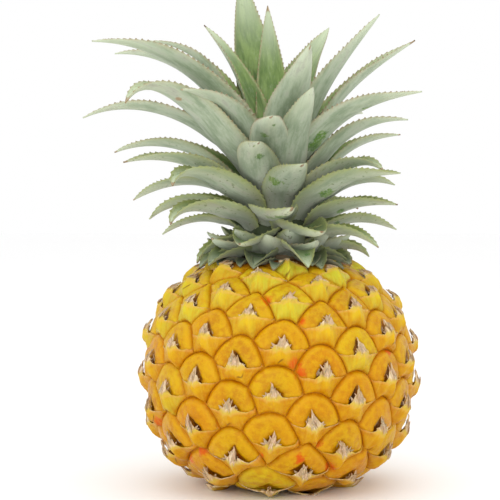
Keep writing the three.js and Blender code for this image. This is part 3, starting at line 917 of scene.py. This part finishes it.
def scale_batch(shell, origin, along, out, length, width, tilt, curl, cup, twist, tone, pale, fresh):
    """Adds thin pointed scales. Each starts at origin, rises by tilt from along towards out, and curls."""
    rows, columns = SCALE_ROWS, SCALE_COLUMNS
    v = np.linspace(0, 1, rows)
    u = np.linspace(-1, 1, columns)
    n = len(origin)
    side = np.cross(along, out)
    angle = tilt[:, None] + curl[:, None] * v**1.3
    step = (length / (rows - 1))[:, None]

    def summed(part):
        return np.concatenate([np.zeros((n, 1)), np.cumsum((part[:, 1:] + part[:, :-1]) / 2 * step, 1)], 1)

    run, rise = summed(np.cos(angle)), summed(np.sin(angle))
    axis = origin[:, None] + along[:, None] * run[..., None] + out[:, None] * rise[..., None]
    normal = -along[:, None] * np.sin(angle)[..., None] + out[:, None] * np.cos(angle)[..., None]
    roll = (twist[:, None] * v)[..., None]
    across = side[:, None] * np.cos(roll) + normal * np.sin(roll)
    face = normal * np.cos(roll) - side[:, None] * np.sin(roll)
    grown = 0.72 + 0.28 * np.sin(np.minimum(v / 0.35, 1) * math.pi / 2)
    half = np.maximum(width[:, None] / 2 * (1 - v**1.6) ** 0.8 * grown, 0.05)
    middle = (
        axis[:, :, None]
        + across[:, :, None] * (half[..., None] * u)[..., None]
        + face[:, :, None] * (cup[:, None, None] * half[..., None] * u**2)[..., None]
    )
    thick = (0.32 * (1 - 0.6 * v))[:, None] * (1 - 0.7 * u**2)
    upper = middle + face[:, :, None] * (thick / 2)[None, ..., None]
    lower = middle - face[:, :, None] * (thick / 2)[None, ..., None]
    faces = slab_faces(rows, columns)
    size = 2 * rows * columns
    points = np.concatenate([upper.reshape(n, -1, 3), lower.reshape(n, -1, 3)], 1)
    all_faces = (faces[None] + (np.arange(n) * size)[:, None, None]).reshape(-1, 4)
    points = points.reshape(-1, 3)
    points[:, 2] = np.maximum(points[:, 2], 0.02)
    shell.add(
        points, all_faces,
        across=tiled(u, (rows, columns), 2 * n),
        along=tiled(v[:, None], (rows, columns), 2 * n),
        tone=np.repeat(tone, size), pale=np.repeat(pale, size), fresh=np.repeat(fresh, size),
    )


def stand(cell, x, y, height):
    """A place over a fruitlet's skin, with the directions out of it, up the fruit and to its side."""
    _, out = skin_frame(cell.at(x, y))
    north = unit(np.array([0, 0, 1.0]) - out * out[2]) if abs(out[2]) < 0.999 else cell.north
    return cell.point(np.array(x), np.array(y), height), out, north, np.cross(north, out)


def build_scales(material):
    """The dry tuft of each fruitlet: points layered over its beak, with strands and sepal tips beside it."""
    shell = Shell()
    rng = np.random.default_rng(SCALE_SEED)
    scales = []
    for cell in EYES:
        foot = cell.point(np.array(0.0), np.array(-0.2), 2.0)[2]
        if foot < 4:
            continue
        grow = cell.radius() / 9.5 * min(max((foot - 1) / 8, 0.45), 1)
        lean = beak_of(cell)[0]

        def put(x, y, height, turn, length, width, *shape):
            origin, out, north, east = stand(cell, x, y, height * cell.relief)
            along = north * math.cos(turn) + east * math.sin(turn)
            scales.append((origin, along, out, length * grow, width * grow, *shape))

        def surface(y):
            return 2.4 + float(beak_rise(0.0, y - BRACT_MARGIN, abs(y)))

        r = rng.random(60)
        for i in range(3):
            # Dry points layered over the beak, one after another
            k = 7 * i
            y = -0.2 + 0.17 * i
            put(
                lean * (y - BRACT_MARGIN) + 0.12 * (r[k] - 0.5), y, surface(y) - 0.1,
                lean * 0.8 + 0.5 * (r[k + 1] - 0.5), 3.0 - 0.5 * i + 1.3 * r[k + 2],
                1.9 - 0.35 * i + 0.7 * r[k + 3], -0.16 - 0.08 * i + 0.2 * r[k + 4], 0.3 * (r[k + 5] - 0.7),
                0.5, 0.8 * (r[k + 6] - 0.5), 0.1 + 0.5 * r[k + 3], 0.6 * r[k + 4], 0.9 - 0.3 * i,
            )
        for hand in (-1, 1):
            # Strands split off to each side
            k = 21 + (hand + 1) * 9
            put(
                hand * (0.1 + 0.05 * r[k]), -0.2, 3.1, hand * (0.35 + 0.5 * r[k + 1]), 2.4 + 1.4 * r[k + 2],
                1.2 + 0.6 * r[k + 3], -0.2 + 0.14 * r[k + 4], 0.3 * (r[k + 5] - 0.6), 0.4,
                hand * 0.7 * r[k + 6], 0.7 * r[k + 7], 0.6 * r[k + 8], 0.8,
            )
            if r[k + 9] > 0.6:
                put(
                    hand * (0.14 + 0.06 * r[k + 9]), -0.16, 2.7, hand * (0.9 + 0.5 * r[k + 10]),
                    1.8 + 1.0 * r[k + 11], 0.9 + 0.5 * r[k + 12], 0.14 * r[k + 13], 0.2, 0.3,
                    hand * 0.6 * r[k + 14], 0.8 * r[k + 15], 0.5 * r[k + 16], 0.5,
                )
        for hand in (-1, 1):
            # Sepal tips out of the gap beside the beak
            q = rng.random(9)
            if q[8] > 0.45:
                put(
                    hand * (0.24 + 0.08 * q[0]), -0.1 + 0.12 * q[4], 1.5, -hand * (0.5 * q[0] - 0.1),
                    2.4 + 1.2 * q[1], 0.8 + 0.5 * q[2], 0.16 + 0.12 * q[3], -0.25 * q[4], 0.4,
                    -hand * 0.6 * q[5], 0.3 + 0.6 * q[6], 0.5 * q[7], 0.3,
                )
        for i in range(5):
            # Fine strands lying over the beak
            q = rng.random(9)
            y = -0.2 + 0.4 * q[1]
            put(
                lean * (y - BRACT_MARGIN) + 0.22 * (q[0] - 0.5), y, surface(y) - 0.5 + 0.4 * q[2],
                1.4 * (q[3] - 0.5), 1.6 + 1.6 * q[4], 0.4 + 0.5 * q[5], -0.25 + 0.25 * q[6],
                0.5 * (q[7] - 0.6), 0.4, 1.6 * (q[8] - 0.5), q[0], q[1], 0.4,
            )
    scale_batch(shell, *[np.array(column, float) for column in zip(*scales)])
    return shell.build("eye_scales", material, "fruit_skin")


# Crown

def interpolate(x, *points):
    """A measure that changes with x, from the pairs of x and measure where it is known."""
    return float(np.interp(x, *zip(*points)))


def leaf_traits(rank):
    turn = FIRST_LEAF_TURN + LEAF_TURN * rank
    height = max(rank, 0) / (LEAF_COUNT - 1)
    base = (LEAF_BASE_RADIUS - LEAF_BASE_TAPER * height, LEAF_BASE_Z + LEAF_BASE_RISE * height**0.9)
    if rank in SHOWN_LEAVES:
        shift, reach, top, launch, tip, width, swerve = SHOWN_LEAVES[rank]
        return dict(
            base=base, turn=turn + shift, reach=reach, top=top, launch=launch, tip=tip, width=width,
            swerve=swerve,
        )

    def wobble(trait):
        return 2 * vary(rank, trait) - 1

    return dict(
        base=base,
        turn=turn + 4 * wobble(2),
        reach=2 * wobble(3) + interpolate(
            rank, (0, 31), (8, 44), (14, 46), (22, 56), (30, 60), (38, 62), (46, 54), (49, 18), (57, 9)
        ),
        top=2 * wobble(4) + interpolate(
            rank, (0, 89), (8, 97), (14, 104), (22, 116), (30, 130), (38, 146), (46, 160), (49, 138),
            (57, 129),
        ),
        launch=interpolate(rank, (0, 40), (8, 46), (20, 62), (35, 74), (57, 86)),
        tip=interpolate(
            rank, (0, -50), (8, -40), (22, -28), (30, -15), (38, 0), (46, 30), (49, 60), (57, 80)
        ),
        width=0.5 * wobble(WIDTH_TRAIT) + interpolate(
            rank, (0, 17), (5, 18), (10, 19), (20, 20), (40, 21), (48, 18), (50, 12), (57, 7)
        ),
        swerve=8 * wobble(5),
    )


def collar_traits(i):
    return dict(
        base=(11.6, 86.8),
        turn=FIRST_LEAF_TURN - LEAF_TURN * (i + 1),
        reach=28 + 5 * vary(i, 6),
        top=83.5 - 1.5 * vary(i, 7),
        launch=22,
        tip=-55,
        width=19,
        swerve=6 * (vary(i, 8) - 0.5),
    )


def stub_traits(i):
    """Short broad leaves that close round the foot of the crown."""
    return dict(
        base=(14, 85.5),
        turn=FIRST_LEAF_TURN - LEAF_TURN * (i + COLLAR_COUNT + 1),
        reach=21 + 0.45 * i + 3 * vary(i, 71),
        top=97.5 - 0.4 * i + 2 * vary(i, 72),
        launch=74,
        tip=44,
        width=16 + 3 * vary(i, 74),
        swerve=8 * (vary(i, 73) - 0.5),
    )


def fringe_traits(i):
    """Small withered leaves hanging out from under the lowest ones."""
    return dict(
        base=(17, 84.8),
        turn=360 * (i + 0.6 * vary(i, 81)) / FRINGE_COUNT,
        reach=25 + 5 * vary(i, 82),
        top=80.5 + 3 * vary(i, 83),
        launch=8,
        tip=-50 - 20 * vary(i, 84),
        width=8 + 5 * vary(i, 85),
        swerve=24 * (vary(i, 86) - 0.5),
    )


def leaf_frame(traits, s):
    """Middle line of a leaf with its own directions, across and up, and its distance from the axis."""
    base_r, base_z = traits["base"]
    launch, tip = traits["launch"] * DEG, traits["tip"] * DEG
    reach, top = traits["reach"], traits["top"]
    chord = math.hypot(reach - base_r, top - base_z)
    r = [base_r, base_r + 0.42 * chord * math.cos(launch), reach - 0.36 * chord * math.cos(tip), reach]
    z = [base_z, base_z + 0.42 * chord * math.sin(launch), top - 0.36 * chord * math.sin(tip), top]
    q = 1 - s

    def blend(p):
        return q**3 * p[0] + 3 * q * q * s * p[1] + 3 * q * s * s * p[2] + s**3 * p[3]

    def slope(p):
        return q * q * (p[1] - p[0]) + 2 * q * s * (p[2] - p[1]) + s * s * (p[3] - p[2])

    turn = (traits["turn"] + traits["swerve"] * s) * DEG
    radius, height = blend(r), blend(z)
    outward = np.stack([np.sin(turn), -np.cos(turn), 0 * s], -1)
    across = np.stack([-np.cos(turn), -np.sin(turn), 0 * s], -1)
    along = outward * slope(r)[:, None] + across * (-radius * traits["swerve"] * DEG / 3)[:, None]
    along[:, 2] = slope(z)
    along[:, 0] += CROWN_LEAN * along[:, 2]
    along = unit(along)
    up = unit(np.cross(across, along))
    across = np.cross(along, up)
    middle = outward * radius[:, None]
    middle[:, 2] = height
    middle[:, 0] += CROWN_LEAN * (height - 82)
    return middle, across, up, radius


def leaf_width(s):
    return (0.5 + 0.5 * np.sin(math.pi / 2 * np.minimum(s / LEAF_OPEN_BY, 1))) * (1 - s**1.9) ** 0.85


# Places where the bloom is rubbed off: leaf rank, then how far along, how far across, and size
SCUFFS = {
    28: [(0.66, -0.3, 0.06), (0.9, 0.3, 0.03)],
    23: [(0.42, 0.62, 0.06), (0.47, 0.4, 0.04), (0.8, -0.2, 0.03)],
    15: [(0.72, 0.0, 0.1), (0.55, 0.25, 0.07)],
    36: [(0.8, -0.3, 0.03)],
    10: [(0.5, 0.0, 0.1)],
    18: [(0.35, 0.2, 0.07), (0.6, -0.3, 0.05)],
    26: [(0.3, -0.3, 0.06)],
    39: [(0.28, 0.1, 0.07), (0.35, 0.2, 0.06)],
    13: [(0.4, 0.3, 0.05)],
    20: [(0.5, 0.2, 0.05)],
}

# Withered places, in the same terms
DRY_SPOTS = {
    15: [(0.98, 0.0, 0.05)],
    23: [(0.98, 0.1, 0.05)],
    28: [(0.99, 0.0, 0.04)],
    33: [(0.6, -0.2, 0.018)],
    36: [(0.98, 0.5, 0.04)],
    44: [(1.0, 0.0, 0.035)],
}


def build_leaf(shell, traits, rank, low=0.0, deep=0.0):
    """Adds one toothed, channelled leaf. low says how withered it is under the crown, and the last argument
    how much painted shade darkens it.
    """
    fine = np.linspace(0, 1, 400)
    middle = leaf_frame(traits, fine)[0]
    arc = np.concatenate([[0], np.cumsum(np.linalg.norm(np.diff(middle, axis=0), axis=1))])
    length = arc[-1]
    teeth = max(int(length / TOOTH_PITCH), 6)
    phases = np.array([0.0, 0.5, 0.8, 0.97])
    places = ((np.arange(teeth)[:, None] + phases[None]) / teeth).ravel()
    places = np.concatenate([places, [1.0]])
    phase = np.concatenate([np.tile(phases, teeth), [0.0]])
    s = np.interp(places * length, arc, fine)
    s = np.minimum(s, 0.999)
    middle, across, up, radius = leaf_frame(traits, s)
    width = np.maximum(traits["width"] * leaf_width(s), 0.25)
    hug = np.clip(width / 2 / (radius + 1), 0.4, 1.25)
    opened = np.minimum(s / LEAF_OPEN_BY, 1)
    opened = opened * opened * (3 - 2 * opened)
    bend = lerp(hug, LEAF_BEND, opened)
    v = [vary(rank + 100 * low, trait) for trait in range(50, 60)]
    tooth = np.where(phase < 0.81, (phase / 0.8) ** 1.6, (1 - phase) / 0.2)
    uneven = 0.75 + 0.5 * np.sin(np.arange(len(s)) * 1.7 + 9 * v[0]) ** 2
    grown = np.clip(s / 0.1, 0, 1) * np.clip((1 - s) / 0.06, 0, 1) * uneven
    spike = TOOTH_HEIGHT * tooth * grown * np.clip(width / 8, 0.4, 1)
    u = np.array([-1.0, -0.93, -0.78, -0.55, -0.28, 0.0, 0.28, 0.55, 0.78, 0.93, 1.0])
    at_edge = np.abs(u) == 1
    stretch = u[None] * (1 + at_edge[None] * (spike / (width / 2))[:, None])
    angle = bend[:, None] * stretch
    thick = lerp(1.25, 0.5, s)[:, None] * (1 - 0.8 * np.abs(u[None]) ** 2.5) + 0.08
    thick = np.where(at_edge[None], 0.14, thick)
    ripple = 0.35 * np.sin(places * length / 6.5 + 6 * v[1])[:, None] * np.abs(u) ** 3 * np.sign(u + 0.01)
    ripple = ripple * np.clip(s / 0.3, 0, 1)[:, None] * np.clip((1 - s) / 0.15, 0, 1)[:, None]
    ribs = 0.05 * np.cos(u[None] * 22) * np.clip((1 - s) / 0.2, 0, 1)[:, None]
    ribs = ribs * np.clip(width / 12, 0, 1)[:, None]
    arch = (width / 2 / bend)[:, None]
    drop = KEEL_DROP * arch * (1 - np.cos(bend))[:, None] * opened[:, None]

    def surface(side):
        ring = arch - side * thick / 2
        lift = arch - ring * np.cos(angle) - drop + ripple + (ribs if side < 0 else 0)
        return (
            middle[:, None]
            + across[:, None] * (ring * np.sin(angle))[..., None]
            + up[:, None] * lift[..., None]
        )

    shape = (len(s), len(u))
    points = np.concatenate([surface(1).reshape(-1, 3), surface(-1).reshape(-1, 3)])
    faces = slab_faces(*shape)[:, ::-1]
    scuff = np.zeros(shape)
    tip = np.clip((s - 0.97 + 0.03 * v[5]) / 0.03, 0, 1)[:, None]
    dry = np.maximum(tip * (0.8 if v[8] > 0.6 else 0.3), low * (0.15 + 0.5 * v[6]))

    def spot(at_s, at_u, size, broad):
        return bell(s[:, None] - at_s, size) * bell(u[None] - at_u, broad)

    if low == 0:
        for at_s, at_u, size in SCUFFS.get(rank, []):
            scuff = np.maximum(scuff, spot(at_s, at_u, size, size * 4))
        if v[2] > 0.4:
            scuff = np.maximum(scuff, 0.75 * spot(0.25 + 0.5 * v[3], 1.4 * (v[4] - 0.5), 0.05, 0.25))
        for at_s, at_u, size in DRY_SPOTS.get(rank, []):
            dry = np.maximum(dry, 1.2 * spot(at_s, at_u, size, size * 9))
    high = min(max((rank - 20) / 16, 0), 1) * (1 - low)
    face = np.repeat([1.0, 0.0], len(s) * len(u))
    shell.add(
        points, faces,
        along=tiled((places * length)[:, None], shape),
        across=tiled(u[None] * (width / 2)[:, None], shape),
        reach=tiled(places[:, None], shape),
        upper=face,
        margin=tiled(np.clip((np.abs(u) - 0.8) / 0.2, 0, 1), shape),
        zone=tiled(np.clip((np.abs(u) - 0.45) / 0.55, 0, 1), shape),
        tooth=tiled(at_edge[None] * (tooth * grown)[:, None], shape),
        tone=v[7], high=high, deep=deep,
        dry=tiled(dry, shape),
        scuff=tiled(scuff, shape),
    )


def build_crown(material):
    for rank in range(LEAF_COUNT):
        shell = Shell()
        build_leaf(shell, leaf_traits(rank), rank)
        name = f"leaf_{rank + 1:02d}"
        shell.build(f"crown_{name}", material, "leaf", name)


def build_collar(material):
    shell = Shell()
    rows, columns = 14, 40
    t = np.linspace(0, 1, rows)[:, None]
    a = np.linspace(0, 2 * math.pi, columns, endpoint=False)[None]
    r = lerp(STEM_BASE_RADIUS, STEM_TOP_RADIUS, t) + 0.5 * np.sin(a * 8 + t * 19)
    z = lerp(STEM_BASE_Z - 1.0, STEM_TOP_Z, t) + 0 * a
    lean = CROWN_LEAN * (z - 82)
    points = np.stack([lean + r * np.cos(a), r * np.sin(a), z], -1).reshape(-1, 3)
    ends = np.array([[CROWN_LEAN * 2.0, 0, STEM_BASE_Z - 1.0], [CROWN_LEAN * 39, 0, STEM_TOP_Z + 1]])
    withered = np.clip((94 - points[:, 2]) / 5, 0, 1)
    # The core is painted dark all over as shade, so it reads as shadowed gaps between the leaf bases.
    shell.add(points, along=6.0, upper=0.0, tone=0.3, deep=1.0, dry=withered)
    shell.add(ends, along=6.0, deep=1.0, dry=0.0)
    here = np.arange(columns)
    after = (here + 1) % columns
    for low in range(0, (rows - 1) * columns, columns):
        high = low + columns
        shell.faces += np.stack([low + here, low + after, high + after, high + here], -1).tolist()
    bottom, top, last = rows * columns, rows * columns + 1, (rows - 1) * columns
    for j, k in zip(here.tolist(), after.tolist()):
        shell.faces += [[bottom, k, j], [top, last + j, last + k]]
    # The last argument of each call below darkens these low leaves with painted shade.
    for i in range(COLLAR_COUNT):
        build_leaf(shell, collar_traits(i), i, 0.35, 0.4)
    for i in range(STUB_COUNT):
        build_leaf(shell, stub_traits(i), i + 20, 0.1, 0.2)
    for i in range(FRINGE_COUNT):
        build_leaf(shell, fringe_traits(i), i + 40, 0.5 * vary(i, 91), 0.55)
    return shell.build("crown_collar", material, "crown_base", "crown_stem")


# Stage, camera and light

def build_stage():
    mesh = bpy.data.meshes.new("floor")
    size = 6.0
    corners = [(-size, -size, 0), (size, -size, 0), (size, size, 0), (-size, size, 0)]
    mesh.from_pydata(corners, [], [[0, 1, 2, 3]])
    look = Look("pale floor")
    grain = look.noise(look.place(), 0.02, 2.0)
    look.colour = look.mix(grain, (253, 253, 253), (255, 255, 255))
    look.finish(0.9)
    mesh.materials.append(look.material)
    floor = bpy.data.objects.new("floor", mesh)
    bpy.context.scene.collection.objects.link(floor)


def build_camera():
    data = bpy.data.cameras.new("camera")
    data.sensor_width = 36
    data.lens = 18 / math.tan(9.6 * DEG)
    camera = bpy.data.objects.new("camera", data)
    camera.location = (0, -0.5569, 0.1033)
    yaw, pitch = 1.124 * DEG, -1.53 * DEG
    forward = Vector((-math.sin(yaw) * math.cos(pitch), math.cos(yaw) * math.cos(pitch), math.sin(pitch)))
    camera.rotation_mode = "QUATERNION"
    camera.rotation_quaternion = forward.to_track_quat("-Z", "Y")
    bpy.context.scene.collection.objects.link(camera)
    bpy.context.scene.camera = camera


def add_softbox(name, place, target, size, power):
    data = bpy.data.lights.new(name, "AREA")
    data.shape = "SQUARE"
    data.size = size
    data.energy = power
    light = bpy.data.objects.new(name, data)
    light.location = place
    light.rotation_mode = "QUATERNION"
    light.rotation_quaternion = (Vector(target) - Vector(place)).to_track_quat("-Z", "Y")
    bpy.context.scene.collection.objects.link(light)


def build_light():
    world = bpy.data.worlds.new("soft white room")
    bpy.context.scene.world = world
    world.use_nodes = True
    background = world.node_tree.nodes["Background"]
    background.inputs[0].default_value = (1, 1, 1, 1)
    background.inputs[1].default_value = 1.0
    add_softbox("softbox left", (-0.9, -0.7, 0.7), (0, 0, 0.08), 0.7, 1.0)
    add_softbox("softbox right", (0.95, -0.5, 0.55), (0, 0, 0.08), 0.7, 0.8)
    add_softbox("softbox front", (-0.25, -1.1, 0.35), (0, 0, 0.1), 0.8, 3.2)
    add_softbox("softbox top", (0.1, -0.2, 1.2), (0, 0, 0.05), 0.9, 2.3)
    bpy.context.scene.view_settings.view_transform = "Standard"


build_camera()
build_skin(skin_look())
build_bracts(bract_look())
build_scales(scale_look())
leaf_material = leaf_look()
build_crown(leaf_material)
build_collar(leaf_material)
build_stage()
build_light()
